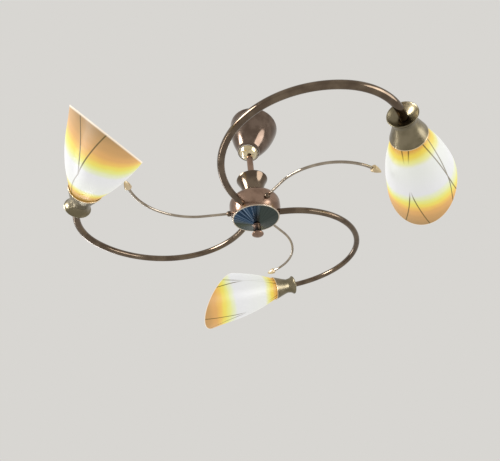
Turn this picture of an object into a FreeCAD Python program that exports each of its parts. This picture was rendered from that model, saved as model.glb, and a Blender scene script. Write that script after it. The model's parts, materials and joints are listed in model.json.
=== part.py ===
import FreeCAD, Part
import math
import os
from FreeCAD import Placement, Rotation, Vector

# A three-arm ceiling chandelier.  Millimetres, +Z up.  The origin is the centre of the
# face that lies on the ceiling.  The lamp hangs plumb from a ball in the bottom of the
# canopy, so the canopy may lean with a ceiling that isn't level, as it does here.

# ---------------------------------------------------------------- driving dimensions
ARM_COUNT = 3                     # arms, rods and shades around the hub
NAMES = ("a", "b", "c")           # one letter per arm

# gaps between pieces
MOVE_GAP = 0.3                    # between two bodies that move past each other
TIP_FLAT_R = 0.4                  # a turned tip ends in a flat this size
SCREW_GAP = 0.05                  # radial, between a thread and what turns on it
SLIP_GAP = 0.2                    # between fixed pieces that are pushed together

# canopy, in its own frame: the ceiling is at z = 0 and the ball's centre below it
CANOPY_LEAN = 14.5                # angle of the ceiling from level, degrees
CANOPY_LEAN_TOWARDS = 37.0        # direction the ceiling's normal leans to, degrees
CANOPY_RIM_R = 52.5
CANOPY_WALL = 1.2
BALL_DEPTH = 81.0                 # ball's centre below the ceiling
BALL_R = 20.5
BALL_TOP_FLAT = 16.0              # flat on the ball's top, above its centre
SEAT_RING_WALL = 1.5
SEAT_LOW_ANGLE = 70.0             # seat ring's lower edge, from straight down, degrees
SEAT_HIGH_ANGLE = 100.0           # seat ring's upper edge
CANOPY_SCREW_R = 2.0
CANOPY_SCREW_Z = -9.0
CANOPY_SCREW_AT = 100.0           # direction of the line through both side screws

# ceiling bracket
BRACKET_THICK = 2.0
BRACKET_WIDTH = 22.0
BRACKET_TAB_DROP = 15.0
BRACKET_HOLE_PCD = 60.0
BRACKET_HOLE_R = 2.6
CABLE_HOLE_R = 6.0
CABLE_HOLE_AT = 14.0
EARTH_SCREW_R = 2.0
EARTH_SCREW_AT = 40.0

# stem, in the lamp's frame: z = 0 is the plane of the hub's lower rim
BALL_HEIGHT = 174.0               # ball's centre above the hub's lower rim
STEM_R = 6.5
STEM_BORE_R = 4.8
STEM_FOOT_Z = 24.0                # lower end of the stem, inside the hub
STEM_WASHER_R = 11.0
STEM_WASHER_T = 1.5
STEM_NUT_AF = 19.0                # across flats
STEM_NUT_T = 5.0
STEM_LEAD_R = 2.4

# trumpet cup on the hub
CUP_FOOT_R = 22.0
CUP_WAIST_R = 19.5
CUP_WAIST_H = 14.0                # above the hub's top
CUP_MOUTH_R = 30.8
CUP_HEIGHT = 50.0
CUP_WALL = 1.2

# hub drum
HUB_RIM_R = 44.0
HUB_BELLY_R = 48.8
HUB_BELLY_Z = 28.0
HUB_HEIGHT = 43.5
HUB_TOP_FLAT_R = 36.0
HUB_WALL = 1.5

# mirror cone that closes the hub, and the finial that holds it
COVER_DROP = 14.0                 # depth of the cone
COVER_WALL = 1.2
COVER_LIP = 1.6                   # width of the flat lip that carries the drum's edge
STUD_R = 3.0
FINIAL_NECK_R = 7.6
FINIAL_FOOT_R = 11.0
FINIAL_LENGTH = 23.0
BRIDGE_THICK = 1.5
BRIDGE_WIDTH = 14.0
BRIDGE_HALF_SPAN = 24.0
BRIDGE_TURN = 30.0                # direction of the bridge's legs, degrees

# junction block inside the hub
JUNCTION_R = 20.0
JUNCTION_TOP_Z = 16.0
JUNCTION_FOOT_Z = 4.0
PORT_DEPTH = 6.0

# arms: a straight stub, one large bend, and a small bend that aims the shade
ARM_R = 6.0
ARM_BORE_R = 5.0
ARM_Z = 9.9                       # arm's axis above the hub's lower rim, at the drum's skin
ARM_ROOT = 4.0                    # length of the path inside the drum's skin
ARM_STUB = 8.0                    # straight run outside the drum's skin
ARM_BEND_R = 161.5
ARM_BEND = 125.5                  # degrees
ARM_AIM_R = 111.3                 # radius of the last bend, which ends along the shade's axis
ARM_TAIL = 11.0                   # straight end inside the holder
ARM_FIRST_AT = -119.3             # direction of the first arm from the hub's axis
ARM_DROP = (-1.9, 0.25, 1.6)      # each arm's angle below level where it leaves the drum, degrees
ARM_ROLL = (-4.5, -1.1, -0.5)     # each arm's turn about the axis it leaves along, degrees
NIPPLE_R = 4.9
NIPPLE_BORE_R = 3.6
NIPPLE_IN_TUBE = 12.0
ARM_NUT_AF = 14.0
ARM_NUT_T = 4.0
ARM_NUT_SAG = 2.6                 # the drum's curve under a nut's corners
ARM_LEAD_R = 2.2
SHADE_HEADING = (64.7, 73.0, 67.3)    # each shade's direction, in its arm's own frame
SHADE_RISE = (3.6, -10.1, 4.4)    # each shade's angle above level
GLASS_TURN = (299.7, 299.2, 238.8)    # where each glass's long side points, degrees

# rods between the arms
ROD_R = 2.5
ROD_Z = 17.2                      # rod's axis above the hub's lower rim, at the drum's skin
ROD_ROOT = 8.0                    # length of the rod inside the drum's skin
ROD_STUB = 50.0                   # straight run outside the drum's skin
ROD_BENDS = ((117.5, 40.9), (99.5, 50.2))    # radius and degrees of each bend
ROD_AFTER_ARM = 58.5              # rod's hole after its arm's, round the drum
ROD_DROP = (6.2, 4.0, -0.2)       # each rod's angle below level in its ball collar, degrees
ROD_SWING = (2.5, -3.2, 1.2)      # each rod's angle from square to the drum, degrees
ROD_ROLL = (-6.0, -1.9, 1.0)      # each rod's turn about the axis it leaves along, degrees
ROD_BALL_R = 5.5
ROD_BALL_OUT = 2.0                # ball's centre outside the drum's skin
ROD_NUT_AF = 11.0
ROD_NUT_T = 4.0
ROD_TIP_R = 6.3
ROD_TIP_LENGTH = 20.0
ROD_TIP_CUP = 4.0                 # rod's length inside its tip

# lamp holder for a small screw cap
SOCKET_R = 13.4
SOCKET_BUSH = 5.0                 # depth of the bush that takes the nipple
SOCKET_THREAD_H = 0.4             # the outer thread's height on the body
SOCKET_THREAD_R = SOCKET_R + SOCKET_THREAD_H
SOCKET_FLANGE_W = 4.6             # the flange's width beyond the body
SOCKET_FLANGE_R = SOCKET_R + SOCKET_FLANGE_W
SOCKET_FLANGE_S = -12.0
SOCKET_FLANGE_T = 2.5
SOCKET_END_S = 12.0
SOCKET_CAVITY_R = 7.3
SOCKET_CAVITY_DEPTH = 26.0

# bulb
BULB_CAP_R = 6.9
BULB_CAP_LENGTH = 24.0
BULB_R = 17.5
BULB_LENGTH = 68.0                # glass only
BULB_BELLY_AT = 26.0              # widest place, from the cap

# threaded ring that clamps the glass
RING_WIDTH = 5.2
RING_R = SOCKET_THREAD_R + RING_WIDTH
RING_T = 5.0
RING_NOTCHES = 12
RING_ROOM = 0.8                   # between the ring and the glass round it

# glass shade: a horn with a slanting mouth
GLASS_WALL = 3.0
GLASS_SEAT_R = RING_R + RING_ROOM + GLASS_WALL
GLASS_FLANGE_T = 3.0
GLASS_HOLE_GAP = 1.0              # between the lamp holder's thread and the glass
GLASS_HOLE_R = SOCKET_THREAD_R + GLASS_HOLE_GAP
GLASS_NECK_FLARE = 2.8            # from the seat out to the neck
GLASS_NECK_R = GLASS_SEAT_R + GLASS_NECK_FLARE
GLASS_PROFILE = ((42.4, 46.2), (53.4, 92.4), (59.6, 138.6), (67.0, 184.8))    # radius, s
MOUTH_AXIS_S = 124.5              # where the mouth's plane meets the axis
MOUTH_SLANT = 42.3                # degrees from square

# shade holder: a flared collar, a waist and a cup; s = 0 is the cup's rim
HOLDER_WALL = 1.2
HOLDER_WEB_T = 2.0
HOLDER_WAIST_ROOM = 2.0           # between the lamp holder and the inside of the waist
HOLDER_RIM_GAP = 1.1              # between the glass's neck and the cup's rim
HOLDER_FLARE_R = 22.0
HOLDER_WAIST_R = SOCKET_R + HOLDER_WAIST_ROOM + HOLDER_WALL
HOLDER_RIM_R = GLASS_NECK_R + HOLDER_RIM_GAP + HOLDER_WALL
HOLDER_FLARE_S = -52.0
HOLDER_WAIST_S = -35.0

# terminal block on top of the stem
TERMINAL_SIZE = (18.0, 14.0, 12.0)
TERMINAL_LIFT = 31.0              # its foot above the ball's centre

UP = Vector(0, 0, 1)


# ---------------------------------------------------------------- small helpers
def turned(start, *steps):
    """Solid turned about Z from a closed outline of (radius, z) points.

    A step is the next point, or (middle, end) of an arc."""
    edges = []
    last = Vector(start[0], 0, start[1])
    for step in steps + (start,):
        if isinstance(step[0], tuple):
            middle = Vector(step[0][0], 0, step[0][1])
            end = Vector(step[1][0], 0, step[1][1])
            edges.append(Part.Arc(last, middle, end).toShape())
        else:
            end = Vector(step[0], 0, step[1])
            if end.distanceToPoint(last) < 1e-7:
                continue
            edges.append(Part.LineSegment(last, end).toShape())
        last = end
    face = Part.Face(Part.Wire(edges))
    return face.revolve(Vector(0, 0, 0), UP, 360)


def cylinder(radius, low, high, at=(0, 0)):
    """Upright cylinder between two heights."""
    return Part.makeCylinder(radius, high - low, Vector(at[0], at[1], low))


def ring(outer, inner, low, high):
    return cylinder(outer, low, high).cut(cylinder(inner, low - 1, high + 1))


def hexagon(across_flats, low, high):
    """Upright hexagonal prism."""
    corner = across_flats / math.sqrt(3)
    points = []
    for i in range(7):
        angle = math.radians(60 * i)
        points.append(Vector(corner * math.cos(angle), corner * math.sin(angle), low))
    return Part.Face(Part.makePolygon(points)).extrude(Vector(0, 0, high - low))


def hex_nut(across_flats, bore, low, high):
    """Hexagon nut with its corners turned off on both faces."""
    blank = hexagon(across_flats, low, high)
    corner = across_flats / math.sqrt(3)
    chamfer = (corner - across_flats / 2) * 0.8
    blunt = turned((0, low), (corner - chamfer, low), (corner, low + chamfer),
                   (corner, high - chamfer), (corner - chamfer, high), (0, high))
    return blank.common(blunt).cut(cylinder(bore, low - 1, high + 1))


def direction(azimuth, rise=0.0):
    """Unit vector from its azimuth and its angle above level, in degrees."""
    a = math.radians(azimuth)
    e = math.radians(rise)
    return Vector(math.cos(e) * math.cos(a), math.cos(e) * math.sin(a), math.sin(e))


def aimed(shape, at, axis):
    """Copy of a shape built along Z, with Z turned to axis and X kept level."""
    side = UP.cross(axis).normalize()
    over = axis.cross(side)
    return shape.transformed(Placement(at, Rotation(side, over, axis, "ZXY")).toMatrix())


def spun(shape, angle):
    """Copy turned about the Z axis."""
    return shape.transformed(Placement(Vector(), Rotation(UP, angle)).toMatrix())


def one(shape):
    """The single solid of a boolean's result."""
    shape = shape.removeSplitter()
    if len(shape.Solids) != 1:
        raise ValueError("expected one solid, got %d" % len(shape.Solids))
    return shape.Solids[0]


class Route:
    """A path of straight runs and tangent arcs, which a round bar or tube follows."""

    def __init__(self, start, heading):
        self.start = start
        self.first = heading
        self.at = start
        self.to = heading
        self.edges = []

    def run(self, length):
        end = self.at + self.to * length
        self.edges.append(Part.LineSegment(self.at, end).toShape())
        self.at = end
        return self

    def bend(self, radius, angle, axis):
        arm = self.to.cross(axis) * radius
        centre = self.at - arm
        middle = centre + Rotation(axis, angle / 2).multVec(arm)
        end = centre + Rotation(axis, angle).multVec(arm)
        self.edges.append(Part.Arc(self.at, middle, end).toShape())
        self.at = end
        self.to = Rotation(axis, angle).multVec(self.to)
        return self

    def bar(self, radius):
        circle = Part.Wire(Part.makeCircle(radius, self.start, self.first))
        return Part.Wire(self.edges).makePipeShell([circle], True, False)


# ---------------------------------------------------------------- frames
LEAN_AXIS = direction(CANOPY_LEAN_TOWARDS + 90)
CEILING_NORMAL = Rotation(LEAN_AXIS, CANOPY_LEAN).multVec(UP)
BALL_AT = CEILING_NORMAL * -BALL_DEPTH
LAMP_AT = BALL_AT - UP * BALL_HEIGHT


def on_ceiling(shape):
    """From the canopy's frame to the row's."""
    return shape.transformed(Placement(Vector(), Rotation(LEAN_AXIS, CANOPY_LEAN)).toMatrix())


def on_lamp(shape):
    """From the lamp's frame to the row's."""
    return shape.transformed(Placement(LAMP_AT, Rotation()).toMatrix())


def on_sphere(radius, angle):
    """(radius, z) of a point on a ball at the origin, from straight down, in degrees."""
    a = math.radians(angle)
    return (radius * math.sin(a), -radius * math.cos(a))


# ---------------------------------------------------------------- canopy and bracket
SEAT_IN_R = BALL_R + MOVE_GAP
SEAT_OUT_R = SEAT_IN_R + SEAT_RING_WALL
CANOPY_SEAT_R = SEAT_OUT_R + MOVE_GAP
CANOPY_LIP_ANGLE = SEAT_LOW_ANGLE + 2


def canopy_outline(inset):
    """Outer skin of the bell, or its inside when inset by the wall."""
    rim = CANOPY_RIM_R - inset
    foot = CANOPY_SEAT_R + CANOPY_WALL - inset
    return rim, foot


def make_canopy():
    """Drawn bell with a ball seat rolled into its foot."""
    seat_z = -BALL_DEPTH
    outer_rim, outer_foot = canopy_outline(0)
    inner_rim, inner_foot = canopy_outline(CANOPY_WALL)
    lip_out = on_sphere(CANOPY_SEAT_R + CANOPY_WALL, CANOPY_LIP_ANGLE)
    lip_in = on_sphere(CANOPY_SEAT_R, CANOPY_LIP_ANGLE)
    half = (90 + CANOPY_LIP_ANGLE) / 2
    seat_out = on_sphere(CANOPY_SEAT_R + CANOPY_WALL, half)
    seat_in = on_sphere(CANOPY_SEAT_R, half)
    belly_r = outer_rim * 0.83
    belly_z = -BALL_DEPTH * 0.5
    return turned(
        (outer_rim, 0),
        (outer_rim, -3),
        ((belly_r, belly_z), (outer_foot, seat_z)),
        ((seat_out[0], seat_z + seat_out[1]), (lip_out[0], seat_z + lip_out[1])),
        (lip_in[0], seat_z + lip_in[1]),
        ((seat_in[0], seat_z + seat_in[1]), (inner_foot, seat_z)),
        ((belly_r - CANOPY_WALL, belly_z + 0.5), (inner_rim, -3)),
        (inner_rim, 0),
    )


def side_screw():
    """Screw through the canopy's rim into the bracket's tab, along +X."""
    skin = CANOPY_RIM_R - 0.2
    head = turned((0, skin), (3.6, skin), ((2.6, skin + 1.7), (0, skin + 2.3)))
    shank = cylinder(CANOPY_SCREW_R, skin - 12, skin)
    screw = head.fuse(shank).cut(Part.makeBox(1, 8, 1.2, Vector(-0.5, -4, skin + 1.3)))
    screw = screw.transformed(Placement(Vector(0, 0, CANOPY_SCREW_Z), Rotation(Vector(0, 1, 0), 90)).toMatrix())
    return one(screw)


def make_canopy_screws():
    screws = []
    for side in (0, 180):
        screws.append(spun(side_screw(), CANOPY_SCREW_AT + side))
    return screws


def screw_clearance(radius):
    """Holes along the side screws' line."""
    bar = cylinder(radius, -CANOPY_RIM_R - 10, CANOPY_RIM_R + 10)
    bar = bar.transformed(Placement(Vector(0, 0, CANOPY_SCREW_Z), Rotation(Vector(0, 1, 0), 90)).toMatrix())
    return spun(bar, CANOPY_SCREW_AT)


def make_bracket():
    """Steel strap with two turned-down tabs, two slots' worth of screw holes and a cable hole."""
    tab_out = CANOPY_RIM_R - CANOPY_WALL - 3.0
    strap = Part.makeBox(2 * tab_out, BRACKET_WIDTH, BRACKET_THICK,
                         Vector(-tab_out, -BRACKET_WIDTH / 2, -BRACKET_THICK))
    for side in (0, 180):
        tab = Part.makeBox(BRACKET_THICK, BRACKET_WIDTH * 0.6, BRACKET_TAB_DROP,
                           Vector(tab_out - BRACKET_THICK, -BRACKET_WIDTH * 0.3, -BRACKET_TAB_DROP))
        strap = strap.fuse(spun(tab, side))
    round_off = cylinder(tab_out + 0.3, -BRACKET_TAB_DROP - 1, 1)
    strap = strap.common(round_off)
    for side in (1, -1):
        strap = strap.cut(cylinder(BRACKET_HOLE_R, -BRACKET_THICK - 1, 1, (side * BRACKET_HOLE_PCD / 2, 0)))
    strap = strap.cut(cylinder(CABLE_HOLE_R, -BRACKET_THICK - 1, 1, (-CABLE_HOLE_AT, 0)))
    strap = strap.cut(cylinder(EARTH_SCREW_R, -BRACKET_THICK - 1, 1, (EARTH_SCREW_AT, 0)))
    strap = spun(strap, CANOPY_SCREW_AT)
    return one(strap.cut(screw_clearance(CANOPY_SCREW_R)))


def make_earth_screw():
    """Brass earth screw with its square clamp washer, under the strap."""
    under = -BRACKET_THICK
    shank = cylinder(EARTH_SCREW_R, under - 4, 0)
    washer = cylinder(5.0, under - 1, under)
    head = turned((0, under - 3.5), ((3.0, under - 3.1), (4.0, under - 1)), (0, under - 1))
    screw = shank.common(cylinder(EARTH_SCREW_R, under - 1, 0)).fuse([washer, head])
    screw = screw.cut(Part.makeBox(10, 0.9, 1.2, Vector(-5, -0.45, under - 3.7)))
    screw.translate(Vector(EARTH_SCREW_AT, 0, 0))
    return one(spun(screw, CANOPY_SCREW_AT))


def make_seat_ring():
    """Nylon ring between the ball and the canopy; both its faces are round the ball's centre."""
    middle = (SEAT_LOW_ANGLE + SEAT_HIGH_ANGLE) / 2
    seat = turned(
        on_sphere(SEAT_IN_R, SEAT_LOW_ANGLE),
        on_sphere(SEAT_OUT_R, SEAT_LOW_ANGLE),
        (on_sphere(SEAT_OUT_R, middle), on_sphere(SEAT_OUT_R, SEAT_HIGH_ANGLE)),
        on_sphere(SEAT_IN_R, SEAT_HIGH_ANGLE),
        (on_sphere(SEAT_IN_R, middle), on_sphere(SEAT_IN_R, SEAT_LOW_ANGLE)),
    )
    seat.translate(Vector(0, 0, -BALL_DEPTH))
    return seat


# ---------------------------------------------------------------- ball, stem and cup
def make_ball():
    """Plated ball, bored for the stem and flat on top."""
    ball = Part.makeSphere(BALL_R)
    ball = ball.cut(cylinder(BALL_R + 1, BALL_TOP_FLAT, BALL_R + 1))
    ball = ball.cut(cylinder(STEM_R + SCREW_GAP, -BALL_R - 1, BALL_R + 1))
    ball.translate(Vector(0, 0, BALL_HEIGHT))
    return one(ball)


WASHER_FOOT = BALL_HEIGHT + BALL_TOP_FLAT + MOVE_GAP
NUT_FOOT = WASHER_FOOT + STEM_WASHER_T
STEM_TOP = NUT_FOOT + STEM_NUT_T + 2.0


def make_stem():
    stem = ring(STEM_R, STEM_BORE_R, STEM_FOOT_Z, STEM_TOP)
    return one(stem)


def make_stem_washer():
    return one(ring(STEM_WASHER_R, STEM_R, WASHER_FOOT, NUT_FOOT))


def make_stem_nut():
    return one(hex_nut(STEM_NUT_AF, STEM_R, NUT_FOOT, NUT_FOOT + STEM_NUT_T))


def make_hub_nut():
    """Nut under the drum's top that clamps bridge, drum and cup to the stem."""
    top = HUB_HEIGHT - HUB_WALL - BRIDGE_THICK
    return one(hex_nut(STEM_NUT_AF, STEM_R, top - STEM_NUT_T, top))


def make_cup_nut():
    """Nut inside the trumpet that clamps cup, drum and bridge on the stem."""
    foot = HUB_HEIGHT + CUP_WALL
    return one(hex_nut(STEM_NUT_AF, STEM_R, foot, foot + STEM_NUT_T))


def make_terminal_block():
    """Three-way connector on the ends of the stem's lead."""
    wide, deep, high = TERMINAL_SIZE
    foot = BALL_HEIGHT + TERMINAL_LIFT
    block = Part.makeBox(wide, deep, high, Vector(-wide / 2, -deep / 2, foot))
    pitch = wide / 3
    for i in (-1, 0, 1):
        well = cylinder(1.7, foot + high - 5, foot + high + 1, (i * pitch, -2.5))
        mouth = cylinder(1.6, 0, deep + 2)
        mouth = mouth.transformed(Placement(Vector(i * pitch, deep / 2 + 1, foot + high / 2),
                                            Rotation(Vector(1, 0, 0), 90)).toMatrix())
        block = block.cut(well).cut(mouth.common(Part.makeBox(wide, 6, high,
                                                              Vector(-wide / 2, deep / 2 - 6, foot))))
    block = block.cut(cylinder(STEM_LEAD_R, foot - 1, foot + 3))
    return one(block)


def make_stem_lead():
    """Sheathed lead from the junction in the hub to the terminal block."""
    return cylinder(STEM_LEAD_R, JUNCTION_TOP_Z - 3, BALL_HEIGHT + TERMINAL_LIFT + 3)


def make_cup():
    """Spun trumpet standing on the hub, open at the top round the stem."""
    low = HUB_HEIGHT
    waist = low + CUP_WAIST_H
    top = low + CUP_HEIGHT
    lip = 2.0
    flare_r = (CUP_WAIST_R + CUP_MOUTH_R) / 2 - 1.4
    flare_z = (waist + top) / 2 + 1.0
    return turned(
        (STEM_R, low),
        (CUP_FOOT_R, low),
        ((CUP_WAIST_R + 0.6, low + CUP_WAIST_H / 2), (CUP_WAIST_R, waist)),
        ((flare_r, flare_z), (CUP_MOUTH_R, top - lip)),
        ((CUP_MOUTH_R + 0.1, top - 0.5), (CUP_MOUTH_R - lip, top)),
        ((CUP_MOUTH_R - 1.6, top - lip), (CUP_MOUTH_R - CUP_WALL - 0.6, top - lip - 1)),
        ((flare_r - CUP_WALL, flare_z + 0.6), (CUP_WAIST_R - CUP_WALL, waist)),
        (CUP_WAIST_R - CUP_WALL, low + CUP_WALL),
        (STEM_R, low + CUP_WALL),
    )


# ---------------------------------------------------------------- hub
def drum_blank(inset):
    """The drum's outside, or its inside when inset by the wall and left open below."""
    foot = 0 if inset == 0 else -1
    shoulder_r = HUB_TOP_FLAT_R + (HUB_BELLY_R - HUB_TOP_FLAT_R) * 0.72
    shoulder_z = HUB_BELLY_Z + (HUB_HEIGHT - HUB_BELLY_Z) * 0.69
    side_r = HUB_RIM_R + (HUB_BELLY_R - HUB_RIM_R) * 0.8
    return turned(
        (0, foot),
        (HUB_RIM_R - inset, foot),
        (HUB_RIM_R - inset, 0),
        ((side_r - inset, HUB_BELLY_Z / 2), (HUB_BELLY_R - inset, HUB_BELLY_Z)),
        ((shoulder_r - 0.7 * inset, shoulder_z - 0.7 * inset), (HUB_TOP_FLAT_R, HUB_HEIGHT - inset)),
        (0, HUB_HEIGHT - inset),
    )


def drum_radius(z):
    """Radius of the drum's skin at a height up to its belly."""
    probe = Part.makeLine(Vector(0, 0, z), Vector(2 * HUB_BELLY_R, 0, z))
    hit = drum_blank(0).common(probe)
    return hit.BoundBox.XMax


def on_skin(azimuth, z):
    """Point on the drum's skin."""
    return direction(azimuth) * drum_radius(z) + UP * z


def arm_azimuth(k):
    return ARM_FIRST_AT + 360.0 / ARM_COUNT * k


def arm_out(k):
    return direction(arm_azimuth(k), -ARM_DROP[k])


def at_arm(shape, k):
    """Copy of a shape built along Z, onto an arm's entry axis; z = 0 is the drum's skin."""
    return aimed(shape, on_skin(arm_azimuth(k), ARM_Z), arm_out(k))


def rod_azimuth(k):
    return arm_azimuth(k) + ROD_AFTER_ARM


def rod_out(k):
    return direction(rod_azimuth(k) + ROD_SWING[k], -ROD_DROP[k])


def at_rod(shape, k):
    """Copy of a shape built along Z, onto a rod's entry axis; z = 0 is the drum's skin."""
    return aimed(shape, on_skin(rod_azimuth(k), ROD_Z), rod_out(k))


def bend_axis(out, roll):
    """Axis of a bend to the left of a direction, turned about that direction."""
    return Rotation(out, roll).multVec(out.cross(UP.cross(out).normalize()))


def make_drum():
    """Pressed drum, open below, bored for the stem, the arms' nipples and the rods' balls."""
    drum = drum_blank(0).cut(drum_blank(HUB_WALL))
    drum = drum.cut(cylinder(STEM_R, HUB_HEIGHT - 5, HUB_HEIGHT + 1))
    for k in range(ARM_COUNT):
        port = cylinder(NIPPLE_R, -8, 8)
        drum = drum.cut(at_arm(port, k))
        seat = Part.makeSphere(ROD_BALL_R + MOVE_GAP)
        seat.translate(Vector(0, 0, ROD_BALL_OUT))
        drum = drum.cut(at_rod(seat, k))
    return one(drum)


def make_bridge():
    """Strap bent to a box under the drum's top; its foot holds the cover's stud."""
    top = HUB_HEIGHT - HUB_WALL
    foot = -BRIDGE_THICK
    span = BRIDGE_HALF_SPAN
    outside = Part.makeBox(2 * span, BRIDGE_WIDTH, top - foot, Vector(-span, -BRIDGE_WIDTH / 2, foot))
    inside = Part.makeBox(2 * (span - BRIDGE_THICK), BRIDGE_WIDTH + 2, top - foot - 2 * BRIDGE_THICK,
                          Vector(-span + BRIDGE_THICK, -BRIDGE_WIDTH / 2 - 1, foot + BRIDGE_THICK))
    strap = outside.cut(inside)
    strap = strap.cut(cylinder(STEM_R, top - BRIDGE_THICK - 1, top + 1))
    strap = strap.cut(cylinder(STUD_R, foot - 1, foot + BRIDGE_THICK + 1))
    return one(spun(strap, BRIDGE_TURN))


def cone_z(radius, lower_face):
    """Height of the cover's cone at a radius."""
    drop = COVER_DROP * (1 - radius / (HUB_RIM_R - COVER_LIP))
    return -drop - (COVER_WALL if lower_face else 0)


def make_cover():
    """Shallow mirror cone with a flat lip under the drum's edge."""
    hole = STUD_R + SLIP_GAP
    lip_r = HUB_RIM_R - COVER_LIP
    return turned(
        (hole, cone_z(hole, False)),
        (lip_r, 0),
        (HUB_RIM_R, 0),
        ((HUB_RIM_R + 0.5, -COVER_WALL / 2), (HUB_RIM_R, -COVER_WALL)),
        (lip_r, -COVER_WALL),
        (hole, cone_z(hole, True)),
    )


FINIAL_TOP = cone_z(STUD_R + SLIP_GAP, True) - MOVE_GAP
FINIAL_FOOT = FINIAL_TOP - FINIAL_LENGTH


def make_stud():
    """Stud from the bridge's foot down into the finial, with its nut above the bridge."""
    stud = cylinder(STUD_R, FINIAL_TOP - 10, 3.5)
    collar = hexagon(9, 0, 3)
    return one(stud.fuse(collar))


def make_finial():
    """Turned trumpet-shaped nut that holds the cover."""
    neck_end = FINIAL_TOP - FINIAL_LENGTH * 0.45
    blank = turned(
        (0, FINIAL_TOP),
        (FINIAL_NECK_R - 0.8, FINIAL_TOP),
        (FINIAL_NECK_R, FINIAL_TOP - 1.5),
        ((FINIAL_NECK_R - 0.5, neck_end), (FINIAL_FOOT_R, FINIAL_FOOT + 3)),
        ((FINIAL_FOOT_R, FINIAL_FOOT + 1), (FINIAL_FOOT_R - 1.5, FINIAL_FOOT)),
        ((FINIAL_FOOT_R * 0.5, FINIAL_FOOT - 1.2), (TIP_FLAT_R, FINIAL_FOOT - 1.6)),
        (0, FINIAL_FOOT - 1.6),
    )
    return one(blank.cut(cylinder(STUD_R + SCREW_GAP, FINIAL_TOP - 10.5, FINIAL_TOP + 1)))


def lead_root():
    """Length of an arm's lead inside the drum's skin."""
    return drum_radius(ARM_Z) - JUNCTION_R + PORT_DEPTH


def make_junction():
    """Round insulated block where the stem's lead meets the arms' leads."""
    block = cylinder(JUNCTION_R, JUNCTION_FOOT_Z, JUNCTION_TOP_Z)
    block = block.cut(cylinder(STEM_LEAD_R, JUNCTION_TOP_Z - 3, JUNCTION_TOP_Z + 1))
    for k in range(ARM_COUNT):
        port = cylinder(ARM_LEAD_R + SLIP_GAP, -lead_root(), 0)
        block = block.cut(at_arm(port, k))
    block = block.cut(Part.makeBox(30, 8, 4.5, Vector(-15, -4, JUNCTION_FOOT_Z - 1)))
    return one(block)


# ---------------------------------------------------------------- arms
def shade_axis(k):
    """Direction of one shade, from the end of its arm."""
    return direction(SHADE_HEADING[k] + 360.0 / ARM_COUNT * k, SHADE_RISE[k])


def arm_route(k, root=ARM_ROOT, tail=ARM_TAIL):
    """The arm's axis: stub, large bend in a slightly rolled plane, then the bend to the shade."""
    out = arm_out(k)
    route = Route(on_skin(arm_azimuth(k), ARM_Z) - out * root, out)
    route.run(root + ARM_STUB)
    route.bend(ARM_BEND_R, ARM_BEND, bend_axis(out, ARM_ROLL[k]))
    aim_axis = route.to.cross(shade_axis(k))
    aim_turn = math.degrees(math.asin(aim_axis.Length))
    route.bend(ARM_AIM_R, aim_turn, aim_axis.normalize())
    return route.run(tail)


def at_holder(shape, k):
    """Copy of a shape built along Z, onto a shade's axis; z = 0 is the plane of the holder's rim."""
    reach = HOLDER_WEB_T / 2 - HOLDER_WAIST_S
    return aimed(shape, arm_route(k).at + shade_axis(k) * reach, shade_axis(k))


def make_arm(k):
    """Bent tube, its inner end shaped to the drum."""
    tube = arm_route(k).bar(ARM_R).cut(arm_route(k, ARM_ROOT + 1, ARM_TAIL + 1).bar(ARM_BORE_R))
    return one(tube.cut(drum_blank(0)))


def make_arm_nipple(k):
    """Threaded nipple from inside the drum into the arm's tube."""
    return at_arm(ring(NIPPLE_R, NIPPLE_BORE_R, -HUB_WALL - ARM_NUT_T - 4, NIPPLE_IN_TUBE), k)


def make_arm_nut(k):
    """Nut on the nipple, against the inside of the drum."""
    face = -HUB_WALL - ARM_NUT_SAG
    return at_arm(hex_nut(ARM_NUT_AF, NIPPLE_R, face - ARM_NUT_T, face), k)


def make_end_nipple(k):
    """Threaded nipple from the arm's end through the holder's web into the lamp holder."""
    web = HOLDER_WAIST_S + HOLDER_WEB_T / 2
    return at_holder(ring(NIPPLE_R, NIPPLE_BORE_R, web - NIPPLE_IN_TUBE, web + SOCKET_BUSH), k)


def make_arm_lead(k):
    """Lead through the arm, from the junction block into the lamp holder."""
    return arm_route(k, lead_root(), ARM_TAIL + HOLDER_WEB_T + SOCKET_BUSH).bar(ARM_LEAD_R)


# ---------------------------------------------------------------- rods
def rod_route(k):
    out = rod_out(k)
    route = Route(on_skin(rod_azimuth(k), ROD_Z) - out * ROD_ROOT, out)
    route.run(ROD_ROOT + ROD_STUB)
    for radius, angle in ROD_BENDS:
        route.bend(radius, angle, bend_axis(out, ROD_ROLL[k]))
    return route


def make_rod(k):
    return rod_route(k).bar(ROD_R)


def make_rod_ball(k):
    """Ball collar in its seat in the drum's skin."""
    ball = Part.makeSphere(ROD_BALL_R)
    ball = ball.cut(cylinder(ROD_R, -ROD_BALL_R - 1, ROD_BALL_R + 1))
    ball.translate(Vector(0, 0, ROD_BALL_OUT))
    return one(at_rod(ball, k))


def make_rod_nut(k):
    """Nut on the rod's inner end, behind the ball."""
    back = ROD_BALL_OUT - math.sqrt(ROD_BALL_R ** 2 - ROD_R ** 2)
    return one(at_rod(hex_nut(ROD_NUT_AF, ROD_R, back - ROD_NUT_T, back), k))


def make_rod_tip(k):
    """Spear-shaped end cap; z = 0 is the rod's end."""
    base = ROD_TIP_R
    nose = ROD_TIP_LENGTH - ROD_TIP_CUP
    tip = turned(
        (0, -ROD_TIP_CUP),
        (base * 0.62, -ROD_TIP_CUP),
        (base, -ROD_TIP_CUP + 3.0),
        (base * 0.95, -ROD_TIP_CUP + 4.5),
        ((base * 0.72, nose * 0.5), (base * 0.3, nose - 1.2)),
        ((base * 0.2, nose - 0.3), (TIP_FLAT_R, nose)),
        (0, nose),
    )
    tip = tip.cut(cylinder(ROD_R, -ROD_TIP_CUP - 1, 0))
    route = rod_route(k)
    return one(aimed(tip, route.at, route.to))


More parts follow.
